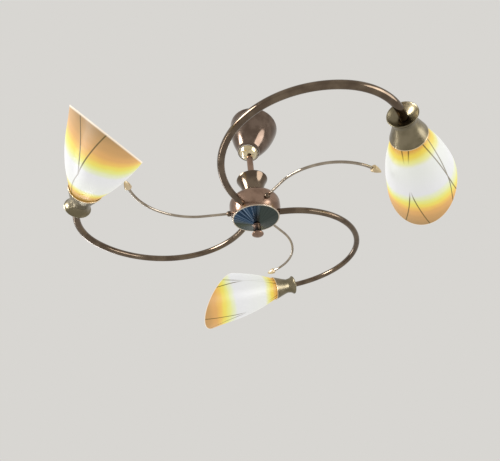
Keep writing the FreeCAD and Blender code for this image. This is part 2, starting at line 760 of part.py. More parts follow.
# ---------------------------------------------------------------- shade holder and lamp
def make_holder():
    """Spun hourglass: open flare towards the arm, web at the waist, cup for the glass."""
    wall = HOLDER_WALL
    flare_mid = (HOLDER_FLARE_S + HOLDER_WAIST_S) / 2
    flare_mid_r = HOLDER_WAIST_R + (HOLDER_FLARE_R - HOLDER_WAIST_R) * 0.25
    cup_mid = HOLDER_WAIST_S * 0.5
    cup_mid_r = HOLDER_WAIST_R + (HOLDER_RIM_R - HOLDER_WAIST_R) * 0.46
    outer = turned(
        (0, HOLDER_FLARE_S),
        (HOLDER_FLARE_R - 0.5, HOLDER_FLARE_S),
        (HOLDER_FLARE_R, HOLDER_FLARE_S + 0.8),
        ((flare_mid_r, flare_mid), (HOLDER_WAIST_R, HOLDER_WAIST_S)),
        ((cup_mid_r, cup_mid), (HOLDER_RIM_R - 0.6, -2.5)),
        ((HOLDER_RIM_R, -1.2), (HOLDER_RIM_R - 0.5, 0)),
        (0, 0),
    )
    low_web = HOLDER_WAIST_S - HOLDER_WEB_T / 2
    high_web = HOLDER_WAIST_S + HOLDER_WEB_T / 2
    waist_in = HOLDER_WAIST_R - wall
    flare = turned(
        (0, HOLDER_FLARE_S - 1),
        (HOLDER_FLARE_R - wall, HOLDER_FLARE_S - 1),
        (HOLDER_FLARE_R - wall, HOLDER_FLARE_S),
        ((flare_mid_r - wall, flare_mid), (waist_in, low_web)),
        (0, low_web),
    )
    cup = turned(
        (0, high_web),
        (waist_in, high_web),
        ((cup_mid_r - wall, cup_mid), (HOLDER_RIM_R - wall, 0)),
        (HOLDER_RIM_R - wall, 1),
        (0, 1),
    )
    holder = outer.cut(flare).cut(cup)
    return one(holder.cut(cylinder(NIPPLE_R, low_web - 1, high_web + 1)))


SOCKET_FOOT_S = HOLDER_WAIST_S + HOLDER_WEB_T / 2


def make_lampholder():
    """Moulded lamp holder: bush on the nipple, flange under the glass, threaded barrel."""
    body = cylinder(SOCKET_R, SOCKET_FOOT_S, SOCKET_END_S - 1)
    barrel = cylinder(SOCKET_THREAD_R, SOCKET_FLANGE_S + SOCKET_FLANGE_T, SOCKET_END_S)
    flange = cylinder(SOCKET_FLANGE_R, SOCKET_FLANGE_S, SOCKET_FLANGE_S + SOCKET_FLANGE_T)
    body = body.fuse([barrel, flange])
    for i in range(12):
        rib = Part.makeBox(0.8, 1.4, SOCKET_FLANGE_S - SOCKET_FOOT_S - 6,
                           Vector(SOCKET_R - 0.3, -0.7, SOCKET_FOOT_S + 3))
        body = body.fuse(spun(rib, 30 * i))
    cavity = cylinder(SOCKET_CAVITY_R, SOCKET_END_S - SOCKET_CAVITY_DEPTH, SOCKET_END_S + 1)
    bush = cylinder(NIPPLE_R, SOCKET_FOOT_S - 1, SOCKET_FOOT_S + SOCKET_BUSH)
    return one(body.cut(cavity).cut(bush))


BULB_FOOT_S = SOCKET_END_S - SOCKET_CAVITY_DEPTH + 1.0
BULB_NECK_S = BULB_FOOT_S + BULB_CAP_LENGTH


def make_bulb_cap():
    """Screw cap with its rolled thread and centre contact."""
    foot = BULB_FOOT_S
    low = foot + 5
    steps = [(2.6, foot), (3.4, foot + 1.4), (BULB_CAP_R - 0.9, low)]
    pitch = 2.8
    for i in range(5):
        start = low + pitch * i
        steps.append(((BULB_CAP_R, start + pitch / 2), (BULB_CAP_R - 0.9, start + pitch)))
    steps.append((BULB_CAP_R - 0.2, BULB_NECK_S))
    return turned((0, foot), *steps, (0, BULB_NECK_S))


def make_bulb():
    """Small candle-shaped envelope."""
    neck = BULB_NECK_S
    belly = neck + BULB_BELLY_AT
    tip = neck + BULB_LENGTH
    shape = turned(
        (0, neck),
        (BULB_CAP_R - 0.4, neck),
        ((BULB_R * 0.72, neck + 10), (BULB_R, belly)),
        ((BULB_R * 0.72, belly + 24), (BULB_R * 0.16, tip - 1.2)),
        ((BULB_R * 0.08, tip - 0.2), (TIP_FLAT_R, tip)),
        (0, tip),
    )
    return shape


def glass_skin(inset):
    """The horn's outside, or its inside when inset by the wall."""
    points = [Vector(GLASS_NECK_R - inset, 0, 0)]
    for radius, s in GLASS_PROFILE:
        points.append(Vector(radius - inset, 0, s))
    curve = Part.BSplineCurve()
    curve.interpolate(points)
    foot = SOCKET_FLANGE_S + SOCKET_FLANGE_T + MOVE_GAP
    low = foot if inset == 0 else foot + GLASS_FLANGE_T
    end = points[-1]
    seat_r = GLASS_SEAT_R - inset
    edges = [
        Part.makeLine(Vector(0, 0, low), Vector(seat_r, 0, low)),
        Part.makeLine(Vector(seat_r, 0, low), points[0]),
        curve.toShape(),
        Part.makeLine(end, Vector(0, 0, end.z)),
        Part.makeLine(Vector(0, 0, end.z), Vector(0, 0, low)),
    ]
    solid = Part.Face(Part.Wire(edges)).revolve(Vector(0, 0, 0), UP, 360)
    return solid.Solids[0] if solid.Solids else solid


def make_shade(k):
    """Glass horn, cut by the slanting plane of its mouth."""
    glass = glass_skin(0).cut(glass_skin(GLASS_WALL))
    glass = glass.cut(cylinder(GLASS_HOLE_R, SOCKET_FLANGE_S - 1, GLASS_FLANGE_T))
    size = 4 * GLASS_PROFILE[-1][0] + 4 * GLASS_PROFILE[-1][1]
    block = Part.makeBox(size, size, size, Vector(-size / 2, -size / 2, 0))
    slant = Placement(Vector(0, 0, MOUTH_AXIS_S), Rotation(Vector(0, 1, 0), -MOUTH_SLANT))
    glass = glass.cut(block.transformed(slant.toMatrix()))
    return one(spun(glass, GLASS_TURN[k]))


def make_shade_ring():
    """Threaded ring that clamps the glass's flange to the lamp holder."""
    low = SOCKET_FLANGE_S + SOCKET_FLANGE_T + 2 * MOVE_GAP + GLASS_FLANGE_T
    collar = ring(RING_R, SOCKET_THREAD_R + SCREW_GAP, low, low + RING_T)
    for i in range(RING_NOTCHES):
        notch = cylinder(1.3, low + 1.2, low + RING_T + 1, (RING_R + 0.3, 0))
        collar = collar.cut(spun(notch, 360.0 / RING_NOTCHES * i))
    return one(collar)


# ---------------------------------------------------------------- all nodes
def build():
    """Every node's name and its solids, in the row's frame."""
    nodes = {
        "ceiling_bracket": [on_ceiling(make_bracket())],
        "canopy": [on_ceiling(one(make_canopy().cut(screw_clearance(CANOPY_SCREW_R + 0.2))))],
        "canopy_screws": [on_ceiling(screw) for screw in make_canopy_screws()],
        "earth_screw": [on_ceiling(make_earth_screw())],
        "seat_ring": [on_ceiling(make_seat_ring())],
        "swivel_ball": [on_lamp(make_ball())],
        "stem_tube": [on_lamp(make_stem())],
        "stem_washer": [on_lamp(make_stem_washer())],
        "stem_nut": [on_lamp(make_stem_nut())],
        "terminal_block": [on_lamp(make_terminal_block())],
        "stem_lead": [on_lamp(make_stem_lead())],
        "stem_cup": [on_lamp(make_cup())],
        "hub_drum": [on_lamp(make_drum())],
        "cup_nut": [on_lamp(make_cup_nut())],
        "hub_nut": [on_lamp(make_hub_nut())],
        "cover_bridge": [on_lamp(make_bridge())],
        "cover_stud": [on_lamp(make_stud())],
        "hub_junction": [on_lamp(make_junction())],
        "hub_cover": [on_lamp(make_cover())],
        "finial": [on_lamp(make_finial())],
        "arm_nipples": [],
        "arm_nuts": [],
        "end_nipples": [],
    }
    for k in range(ARM_COUNT):
        name = NAMES[k]
        nodes["arm_nipples"].append(on_lamp(make_arm_nipple(k)))
        nodes["arm_nuts"].append(on_lamp(make_arm_nut(k)))
        nodes["end_nipples"].append(on_lamp(make_end_nipple(k)))
        nodes["arm_" + name] = [on_lamp(make_arm(k))]
        nodes["arm_lead_" + name] = [on_lamp(make_arm_lead(k))]
        nodes["rod_" + name] = [on_lamp(make_rod(k))]
        nodes["rod_ball_" + name] = [on_lamp(make_rod_ball(k))]
        nodes["rod_nut_" + name] = [on_lamp(make_rod_nut(k))]
        nodes["rod_tip_" + name] = [on_lamp(make_rod_tip(k))]
        nodes["holder_" + name] = [on_lamp(at_holder(make_holder(), k))]
        nodes["lampholder_" + name] = [on_lamp(at_holder(make_lampholder(), k))]
        nodes["bulb_cap_" + name] = [on_lamp(at_holder(make_bulb_cap(), k))]
        nodes["bulb_" + name] = [on_lamp(at_holder(make_bulb(), k))]
        nodes["shade_" + name] = [on_lamp(at_holder(make_shade(k), k))]
        nodes["shade_ring_" + name] = [on_lamp(at_holder(make_shade_ring(), k))]
    return nodes


os.makedirs("parts", exist_ok=True)
for node, solids in build().items():
    shape = solids[0] if len(solids) == 1 else Part.makeCompound(solids)
    shape.exportStep("parts/" + node + ".step")
    print(node, len(shape.Solids), round(shape.Volume / 1000, 2), "cm3", shape.isValid())
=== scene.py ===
# %% [markdown]
# # A three-arm chandelier, dressed for its portrait
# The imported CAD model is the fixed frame: it holds every size, place and joint. This lesson
# gives each visible piece a clean surface made with Blender's own modelling tools, gives
# every piece the finish of the real material, and sets a plain pale studio around it.
# %% Load the frame
import json
import math
import bpy
from mathutils import Matrix, Vector


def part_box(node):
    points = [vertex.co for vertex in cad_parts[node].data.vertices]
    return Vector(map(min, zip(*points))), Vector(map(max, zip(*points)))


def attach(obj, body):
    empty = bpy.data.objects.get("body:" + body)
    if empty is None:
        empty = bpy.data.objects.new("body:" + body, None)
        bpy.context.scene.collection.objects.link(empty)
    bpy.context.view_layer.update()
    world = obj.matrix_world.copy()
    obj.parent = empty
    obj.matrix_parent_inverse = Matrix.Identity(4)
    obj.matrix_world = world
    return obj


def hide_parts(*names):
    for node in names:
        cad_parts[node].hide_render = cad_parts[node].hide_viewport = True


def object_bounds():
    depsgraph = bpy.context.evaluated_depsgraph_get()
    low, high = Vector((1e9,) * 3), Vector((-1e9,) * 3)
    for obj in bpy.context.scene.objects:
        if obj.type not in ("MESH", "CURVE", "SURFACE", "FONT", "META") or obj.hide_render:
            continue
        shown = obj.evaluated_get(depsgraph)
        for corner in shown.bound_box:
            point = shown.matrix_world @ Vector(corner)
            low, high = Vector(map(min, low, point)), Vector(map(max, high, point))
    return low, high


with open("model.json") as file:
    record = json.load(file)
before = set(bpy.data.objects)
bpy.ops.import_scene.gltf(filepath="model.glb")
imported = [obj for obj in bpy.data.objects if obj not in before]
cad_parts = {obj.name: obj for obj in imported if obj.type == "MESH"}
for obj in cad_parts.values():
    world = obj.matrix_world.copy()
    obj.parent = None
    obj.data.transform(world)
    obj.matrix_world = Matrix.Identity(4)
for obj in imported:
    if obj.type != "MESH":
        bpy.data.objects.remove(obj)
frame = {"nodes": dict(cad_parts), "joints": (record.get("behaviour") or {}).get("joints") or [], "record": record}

MM = 0.001
cad_box = [list(corner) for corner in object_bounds()]
joints = {joint["name"]: joint for joint in frame["joints"]}

# %% [markdown]
# ## Where things are
# The lamp hangs plumb under the ball of its swivel, so the hub's lower rim lies straight
# below the ball. Each holder has its own frame: its rim's centre, and the shade's axis.
# The record's joints hold those points, so they aren't written out again here.
# %% Places from the record
LETTERS = "abc"                  # the three arms, and what belongs to each
BALL_HEIGHT = 174 * MM           # ball's centre above the hub's lower rim
ball_at = Vector(joints["lamp_turn"]["pos_m"])
hub_at = ball_at - Vector((0, 0, BALL_HEIGHT))
holder_at = {k: Vector(joints["shade_turn_" + k]["pos_m"]) for k in LETTERS}
holder_axis = {k: Vector(joints["shade_turn_" + k]["axis"]).normalized() for k in LETTERS}
print("ball", ball_at[:], "hub", hub_at[:])

# %% [markdown]
# ## The camera
# The lamp is seen from below and in front, near enough for a strong perspective. The
# lens is shifted a little off its axis, as a view camera's is, to keep the lamp in frame.
# %% Camera
EYE = Vector((0, -613.2, -413.0)) * MM                # the camera, from the hub
RIGHT = Vector((0.99414, 0.05913, -0.09046))          # its picture's right and down
DOWN = Vector((-0.10806, 0.55678, -0.8236))

camera_data = bpy.data.cameras.new("camera")
camera = bpy.data.objects.new("camera", camera_data)
bpy.context.scene.collection.objects.link(camera)
bpy.context.scene.camera = camera
axes = Matrix((RIGHT, -DOWN, -RIGHT.cross(DOWN).normalized())).transposed()
camera.matrix_world = Matrix.Translation(hub_at + EYE) @ axes.to_4x4()
camera_data.sensor_width = 36
camera_data.lens = 28.31
camera_data.shift_x = -0.0134
camera_data.shift_y = -0.0259
camera_data.clip_start = 0.01
print("camera", camera.location[:])

# %% [markdown]
# ## Three small tools for finishes
# Colours are written as the hex values a paint chart would give, and one function turns
# them to the linear values that light is reckoned in. A second function adds any node
# with its settings and whatever feeds it, so that a finish reads as a short recipe. Where
# a node is named as the source, its first output that is in use is taken. A third starts
# a finish with nothing in it.
# %% Colour and node helpers
def linear(colour):
    """A hex colour as linear red, green, blue and alpha."""
    parts = [int(colour[i:i + 2], 16) / 255 for i in (1, 3, 5)]
    return [c / 12.92 if c <= 0.04045 else ((c + 0.055) / 1.055) ** 2.4 for c in parts] + [1.0]


def add(tree, kind, feeds=(), stops=(), **settings):
    """Adds a node. Feeds, in order or by name, are values, nodes or outputs; stops, a ramp's."""
    node = tree.nodes.new("ShaderNode" + kind)
    for name, value in settings.items():
        setattr(node, name, value)
    for socket, source in feeds.items() if isinstance(feeds, dict) else enumerate(feeds):
        if isinstance(source, bpy.types.Node):
            source = next(output for output in source.outputs if output.enabled)
        if isinstance(source, bpy.types.NodeSocket):
            tree.links.new(source, node.inputs[socket])
        else:
            node.inputs[socket].default_value = source
    if stops:
        node.color_ramp.interpolation = "EASE"
        for _ in stops[2:]:
            node.color_ramp.elements.new(1.0)
        for element, (at, colour) in zip(node.color_ramp.elements, stops):
            element.position = at
            element.color = linear(colour)
    return node


def new_finish(name):
    """A material and its node tree, emptied."""
    material = bpy.data.materials.new(name)
    material.use_nodes = True
    material.node_tree.nodes.clear()
    return material, material.node_tree


print("white is", linear("#ffffff"))

# %% [markdown]
# ## Polished nickel plate
# The arms, rods, hub and canopy are steel and brass, buffed and plated with nickel and a
# thin chrome flash. The eye sees a slightly warm grey mirror. What breaks the mirror is
# small: a buffing wheel leaves faint waves some millimetres long, and handling leaves soft
# cloudy patches where the reflections blur a little.
# %% Plated metal
CLOUD = 22 * MM                  # a cloudy patch left by handling
WAVE = 5 * MM                    # a wave left by the buffing wheel
SPECK = 0.8 * MM                 # a speck of haze, drawn coarse enough to show
BEAD_HIGHLIGHT = (-2.2 * MM, -1.8 * MM)    # the painted highlight on a holder's bead begins here, below its rim


def plated(name, light, dark, smooth, cloudy, height=0.05 * MM, rim=None):
    """Warm plated metal: two tints, two roughnesses, the buffing waves' height, a rim's painted highlight tint."""
    material, tree = new_finish(name)
    where = add(tree, "TexCoord").outputs["Object"]
    cloud = add(tree, "TexNoise", {"Vector": where, "Scale": 1 / CLOUD, "Detail": 3.0})
    wave = add(tree, "TexNoise", {"Vector": where, "Scale": 1 / WAVE, "Detail": 1.0})
    speck = add(tree, "TexNoise", {"Vector": where, "Scale": 1 / SPECK, "Detail": 2.0})
    tint = add(tree, "ValToRGB", [cloud], [(0.35, dark), (0.65, light)])
    if rim:
        # the rim's tint above the bead is a painted highlight
        held = add(tree, "Attribute", attribute_name="in_holder").outputs["Vector"]
        height_up = add(tree, "SeparateXYZ", [held]).outputs["Z"]
        bead_highlight = add(tree, "MapRange", [height_up, *BEAD_HIGHLIGHT])
        tint = add(tree, "Mix", {"Factor": bead_highlight, 6: tint, 7: linear(rim)}, data_type="RGBA")
    gloss = add(tree, "MapRange", [cloud, 0.35, 0.7, smooth, cloudy])
    grain = add(tree, "MapRange", [speck, 0.55, 0.75, 0.0, cloudy * 0.5])
    rough = add(tree, "Math", [gloss, grain])
    bump = add(tree, "Bump", {"Height": wave, "Strength": 0.25, "Distance": height})
    add(tree, "OutputMaterial", [add(tree, "BsdfPrincipled", {
        "Base Color": tint, "Roughness": rough, "Normal": bump, "Metallic": 1.0})])
    return material


# arms and cup: a deep mirror; its tint, far darker and warmer than bare nickel, is a painted reflection of a dark
# room and of the lit shades
nickel_plate = plated("polished nickel plate", "#7a6b5b", "#65574a", 0.09, 0.19)
# drum, stem and finial: a rosy tone, a painted warm reflection of the lit shades
warm_reflection_plate = plated("nickel plate, painted warm reflection", "#9c8170", "#806859", 0.12, 0.22)
# canopy: the same mirror as the arms, a little warmer, as a painted reflection of the lit shades
canopy_plate = plated("polished nickel plate, warm", "#7b6a5e", "#66564b", 0.1, 0.2)
# holders: brushed, so their highlights spread; their olive tint is a painted reflection of the lit glass, and the
# bead by the glass has a painted highlight
holder_glow_plate = plated("brushed nickel holder, painted glow of the glass", "#8d836c", "#797059", 0.25, 0.36, rim="#f3dcb4")
# ball: a bright cream tint, a painted reflection of the lit shades
ball_reflection_plate = plated("nickel ball, painted bright reflection", "#eee0bf", "#d9c79f", 0.08, 0.16, 0.03 * MM)
# rods: thin wires, polished harder than the arms, their lighter tint a painted highlight
rod_plate = plated("polished nickel rod", "#b5a999", "#9c9082", 0.06, 0.12, 0.03 * MM)
# spears: a pale cream satin, a painted reflection of the shades' glow
spear_glow_plate = plated("satin nickel spear, painted glow of the shades", "#ecd9b8", "#d8c29c", 0.3, 0.42)
print(nickel_plate.name, "is", len(nickel_plate.node_tree.nodes), "nodes")

# %% [markdown]
# ## The mirror cone
# The cone under the hub was polished on a spinning wheel, and the wheel leaves the faintest rays from the centre.
# The cone's dark tint is a painted reflection of a dark room, a blue sector of its rays on one side is a painted
# reflection as well, and its rolled edge carries a painted highlight. The rays depend only on the direction round
# the hub, so the noise that draws them is read on a circle. A Mapping node first puts the hub at the middle of the
# pattern.
# %% Sunray mirror
CONE_R = 45 * MM
RAY_GAP = 5 * MM                          # between rays, at the cone's edge
BLUE_REFLECTION_TOWARD = (-0.66, -0.75, 0.0)          # the painted blue reflection lies to the left and front
ROLLED_EDGE = (42.2 * MM, 42.8 * MM)      # where the painted highlight of the rolled edge begins


def sunray(name):
    """Chrome polished in rays, with a painted blue reflection on one side and a painted highlight on its rolled
    edge.
    """
    material, tree = new_finish(name)
    where = add(tree, "TexCoord").outputs["Object"]
    centred = add(tree, "Mapping", {"Vector": where, "Location": -hub_at})
    flat = add(tree, "VectorMath", [centred, (1, 1, 0)], operation="MULTIPLY")
    circle = add(tree, "VectorMath", [flat], operation="NORMALIZE")
    rays = add(tree, "TexNoise", {"Vector": circle, "Scale": CONE_R / RAY_GAP, "Detail": 3.0,
                                  "Roughness": 0.7})
    toward = add(tree, "VectorMath", [circle, BLUE_REFLECTION_TOWARD], operation="DOT_PRODUCT")
    blue_share = add(tree, "MapRange", [toward, 0.5, 0.85])
    # painted reflections: dark grey-green outside the blue sector, blue within it
    dark_reflection = add(tree, "ValToRGB", [rays], [(0.3, "#3f4845"), (0.7, "#4d5652")])
    painted_blue = add(tree, "ValToRGB", [rays], [(0.38, "#22344a"), (0.5, "#37526f"),
                                           (0.56, "#8ea2b8"), (0.62, "#2f4763")])
    disc = add(tree, "Mix", {"Factor": blue_share, 6: dark_reflection, 7: painted_blue}, data_type="RGBA")
    # a painted highlight along the disc's rolled edge
    out = add(tree, "VectorMath", [flat], operation="LENGTH")
    edge = add(tree, "MapRange", [out, *ROLLED_EDGE])
    tint = add(tree, "Mix", {"Factor": edge, 6: disc, 7: linear("#e2d6c4")}, data_type="RGBA")
    gloss = add(tree, "MapRange", [rays, 0.3, 0.7, 0.2, 0.3])
    add(tree, "OutputMaterial", [add(tree, "BsdfPrincipled", {
        "Base Color": tint, "Roughness": gloss, "Metallic": 1.0})])
    return material


mirror_plate = sunray("sunray-polished chrome plate, blued")
print(mirror_plate.name)

# %% [markdown]
# ## The colours of the lit glass
# The shades are opal glass, sprayed amber towards the neck and the rim, and the lamp inside
# lights them through. Beside the bulb the glass is white with light. Away from it the
# light goes yellow, then peach. A ramp along the shade's axis gives this in one go: one
# for the light that comes through, and a duller one for the glass itself.
#
# The spray gun was held by hand, so no two shades are alike. On each the amber reaches a little further from the
# neck, and begins a little nearer the rim or further from it; the same shifts move the band of the bulb's light
# through the glass. The lip's painted highlight is wider or narrower on each.
# %% Glow and body of the amber glass
GLASS_GLOW = [(0.00, "#9a7636"), (0.07, "#d89c3c"), (0.115, "#e8cd40"), (0.165, "#e5e688"),
              (0.225, "#e2e4dc"), (0.51, "#e1e1e2"), (0.565, "#e0e7b4"), (0.615, "#e4e87c"),
              (0.665, "#ecda5a"), (0.715, "#eebb58"), (0.77, "#dda65e"), (0.85, "#c4965a"),
              (0.97, "#a88553")]
GLASS_BODY = [(0.00, "#7c6233"), (0.12, "#86763a"), (0.24, "#868686"), (0.52, "#868686"),
              (0.66, "#87793a"), (0.77, "#7c5f38"), (0.97, "#6a5337")]
RAMP = (-12 * MM, 188 * MM)               # where both ramps start and end along the axis
NECK_PART = (20 * MM, 60 * MM)            # where each shade's own neck goes over to the ramp
RIM_PART = (60 * MM, 110 * MM)            # and the ramp to its own rim
AMBER_AND_GLOW_FROM_NECK = {"a": 2 * MM, "b": 2 * MM, "c": 13 * MM}     # the amber and the light band reach this much further
AMBER_AND_GLOW_TO_RIM = {"a": 4 * MM, "b": 17 * MM, "c": -3 * MM}       # and begin this much nearer
LIP_HIGHLIGHT = {"a": 0.8 * MM, "b": 1.2 * MM, "c": 3.2 * MM}            # width of the lip's painted highlight
DRIFT = 45 * MM                           # from one wander of the gun, and of the light band, to the next
WANDER = 7 * MM                           # and how far it wanders at most


def sprayed(tree, here, along, letter):
    """How far along the ramps of amber and of light a point of the glass is, from 0 to 1."""
    drift = add(tree, "TexNoise", {"Vector": here, "Scale": 1 / DRIFT, "Detail": 2.0})
    wander = add(tree, "MapRange", [drift, 0.0, 1.0, -WANDER, WANDER])
    neck = add(tree, "MapRange", [along, *NECK_PART, -AMBER_AND_GLOW_FROM_NECK[letter], 0.0])
    rim = add(tree, "MapRange", [along, *RIM_PART, 0.0, -AMBER_AND_GLOW_TO_RIM[letter]])
    moved = along
    for shift in (wander, neck, rim):
        moved = add(tree, "Math", [moved, shift])
    return add(tree, "MapRange", [moved, *RAMP])


print(len(GLASS_GLOW), "stops of glow and", len(GLASS_BODY), "of body")

# %% [markdown]
# ## The painted lines
# Thin fired lines show on the lit glass as olive-brown threads. They come in pairs, drawn
# by hand, so no two shades have them at the same places. A pair meets beside the bulb and
# opens ever wider towards the rim. Towards the neck it opens a little again, or runs on as
# one leaning line. Half the opening is a curve of the distance along the axis, and its
# mirror image is the other line, so one comparison of a distance across with that opening
# draws both.
# %% Pairs of lines
# how fast a pair opens towards the neck, and how fast it leans there, in radians per metre
TWO_LINES = (0.07, 0.0)
ONE_LINE = (0.0, 4.8)
# each pair: its angle from the glass's long side, where it meets along the axis, how far
# the light drowns it, and how it runs on towards the neck
LINE_PAIRS = {
    "a": ((0, 72 * MM, 0.97, TWO_LINES), (-71, 86 * MM, 0.2, TWO_LINES),
          (100, 72 * MM, 0.8, TWO_LINES), (190, 72 * MM, 0.8, TWO_LINES)),
    "b": ((-15, 72 * MM, 0.95, TWO_LINES), (75, 72 * MM, 0.85, TWO_LINES),
          (165, 72 * MM, 0.8, TWO_LINES)),
    "c": ((0, 74 * MM, 0.45, ONE_LINE), (125, 72 * MM, 0.8, TWO_LINES),
          (-120, 72 * MM, 0.8, TWO_LINES))}
LINE = 0.8 * MM                  # half the width of a line, whose edge is soft
OPENS = 0.07                     # how fast a pair opens towards the rim at first
WIDENS = 1.15                    # and how much faster it goes on, per metre
PAINTED = 0.95                   # how much of the glass's light a line keeps back
BULB_S = 55 * MM                 # the bulb's middle along the axis
BESIDE = (28 * MM, 50 * MM)      # its light is full to the first distance, gone at the second


def line_pair(tree, along, radius, angle, degrees, meeting, neck_side):
    """1 on the two lines of a pair and 0 off them."""
    opens, lean = neck_side
    past = add(tree, "Math", [along, meeting], operation="SUBTRACT")
    to_rim = add(tree, "Math", [past, 0.0], operation="MAXIMUM")
    to_neck = add(tree, "Math", [past, 0.0], operation="MINIMUM")
    square = add(tree, "Math", [to_rim, 2.0], operation="POWER")
    curve = add(tree, "Math", [square, WIDENS], operation="MULTIPLY")
    rimward = add(tree, "Math", [to_rim, OPENS, curve], operation="MULTIPLY_ADD")
    opening = add(tree, "Math", [to_neck, -opens, rimward], operation="MULTIPLY_ADD")
    toward = add(tree, "Math", [to_neck, lean, math.radians(degrees)], operation="MULTIPLY_ADD")
    turned = add(tree, "Math", [angle, toward], operation="SUBTRACT")
    around = add(tree, "Math", [turned, math.pi, -math.pi], operation="WRAP")
    signed = add(tree, "Math", [around, radius], operation="MULTIPLY")
    across = add(tree, "Math", [signed], operation="ABSOLUTE")
    off = add(tree, "Math", [across, opening], operation="SUBTRACT")
    gap = add(tree, "Math", [off], operation="ABSOLUTE")
    return add(tree, "MapRange", [gap, 0.7 * LINE, 1.5 * LINE, 1.0, 0.0])


def painted_lines(tree, along, radius, angle, letter):
    """All the lines of one shade, fainter where the bulb's light drowns them."""
    off = add(tree, "Math", [along, BULB_S], operation="SUBTRACT")
    far = add(tree, "Math", [off], operation="ABSOLUTE")
    beside = add(tree, "MapRange", [far, *BESIDE, 1.0, 0.0])
    drawn = 0.0
    for degrees, meeting, drowned, neck_side in LINE_PAIRS[letter]:
        line = line_pair(tree, along, radius, angle, degrees, meeting, neck_side)
        kept = add(tree, "Math", [beside, -drowned, PAINTED], operation="MULTIPLY_ADD")
        shown = add(tree, "Math", [line, kept], operation="MULTIPLY")
        drawn = add(tree, "Math", [drawn, shown], operation="MAXIMUM")
    return drawn


print(sum(len(pairs) for pairs in LINE_PAIRS.values()), "pairs of lines")

# %% [markdown]
# ## The glass of one shade
# The pattern has to follow the horn when it is turned, so each shade carries its own
# coordinates as an attribute: across, across, and the distance from the holder's rim
# along its axis. Colours, lines, the fire-polished lip and the frost are read from it.
# %% Lit glass
MOUTH_S = 124.5 * MM             # where the mouth's plane meets the axis
SLANT = math.radians(42.3)       # the mouth's slant from square
MOUTH_OUT = (-math.sin(SLANT), 0.0, math.cos(SLANT))
FROST = 1.2 * MM                 # size of the frost's grains, drawn coarse enough to show
LIT = 0.72                       # how strongly lit glass shines in its own colour
LIT_LIP = 0.88                   # and its lip


def lit_glass(letter):
    """Opal glass with its amber, its lines and its bright lip, lit from inside."""
    material, tree = new_finish("opal glass, amber, lit from inside, " + letter)
    here = add(tree, "Attribute", attribute_name="in_shade").outputs["Vector"]
    x, y, along = add(tree, "SeparateXYZ", [here]).outputs
    angle = add(tree, "Math", [y, x], operation="ARCTAN2")
    flat = add(tree, "VectorMath", [here, (1, 1, 0)], operation="MULTIPLY")
    radius = add(tree, "VectorMath", [flat], operation="LENGTH")
    amber = sprayed(tree, here, along, letter)
    lines = painted_lines(tree, along, radius, angle, letter)
    through = add(tree, "ValToRGB", [amber], GLASS_GLOW)
    lined = add(tree, "Mix", {"Factor": lines, 6: through, 7: linear("#665300")}, data_type="RGBA")
    glass = add(tree, "ValToRGB", [amber], GLASS_BODY)
    skin = add(tree, "Mix", {"Factor": lines, 6: glass, 7: linear("#1a1300")}, data_type="RGBA")
    # the fire-polished lip of the slanting mouth: a painted highlight, a band of brighter glow along the cut, for
    # the light the whole wall gathers there
    reach = add(tree, "VectorMath", [here, MOUTH_OUT], operation="DOT_PRODUCT")
    depth = add(tree, "Math", [MOUTH_S * math.cos(SLANT), reach], operation="SUBTRACT")
    lip = add(tree, "MapRange", [depth, 0.4 * LIP_HIGHLIGHT[letter], LIP_HIGHLIGHT[letter], 1.0, 0.0])
    glow = add(tree, "Mix", {"Factor": lip, 6: lined, 7: linear("#fff0dc")}, data_type="RGBA")
    body = add(tree, "Mix", {"Factor": lip, 6: skin, 7: linear("#4a443a")}, data_type="RGBA")
    strength = add(tree, "MapRange", [lip, 0.0, 1.0, LIT, LIT_LIP])
    frost = add(tree, "TexNoise", {"Vector": here, "Scale": 1 / FROST, "Detail": 2.0})
    bump = add(tree, "Bump", {"Height": frost, "Strength": 0.15, "Distance": 0.05 * MM})
    add(tree, "OutputMaterial", [add(tree, "BsdfPrincipled", {
        "Base Color": body, "Emission Color": glow, "Emission Strength": strength,
        "Normal": bump, "Roughness": 0.38, "IOR": 1.5})])
    return material


amber_glass = {letter: lit_glass(letter) for letter in LETTERS}
print(len(amber_glass), "glasses of", len(amber_glass["a"].node_tree.nodes), "nodes")

# %% [markdown]
# ## The bulbs
# Small opal candle lamps. Their glass is white all through, and lit, so it is nearly the
# brightest thing in the room, with faint clouds in it where the opal is thinner.
# %% Bulb glass
OPAL = 15 * MM                   # a cloud in the opal


def opal_bulb(name):
    """Lit opal glass with soft clouds."""
    material, tree = new_finish(name)
    where = add(tree, "TexCoord").outputs["Object"]
    cloud = add(tree, "TexNoise", {"Vector": where, "Scale": 1 / OPAL, "Detail": 2.0})
    glow = add(tree, "ValToRGB", [cloud], [(0.3, "#f2e6c8"), (0.7, "#f6efdd")])
    body = add(tree, "ValToRGB", [cloud], [(0.3, "#5c5952"), (0.7, "#686560")])
    add(tree, "OutputMaterial", [add(tree, "BsdfPrincipled", {
        "Base Color": body, "Emission Color": glow, "Emission Strength": LIT,
        "Roughness": 0.2, "IOR": 1.5})])
    return material


bulb_glass = opal_bulb("opal bulb glass, lit")
print(bulb_glass.name)

# %% [markdown]
# ## The hidden hardware
# Behind the canopy and inside the hub are plain working parts. Zinc-plated steel has a
# bluish bloom in patches a few millimetres wide. Turned brass is brighter on its high
# turns. Moulded plastics and silicone leads are matt or satin with a fine moulded grain.
# %% Working finishes
GRAIN = 0.6 * MM                 # moulded or cast grain, drawn coarse enough to show


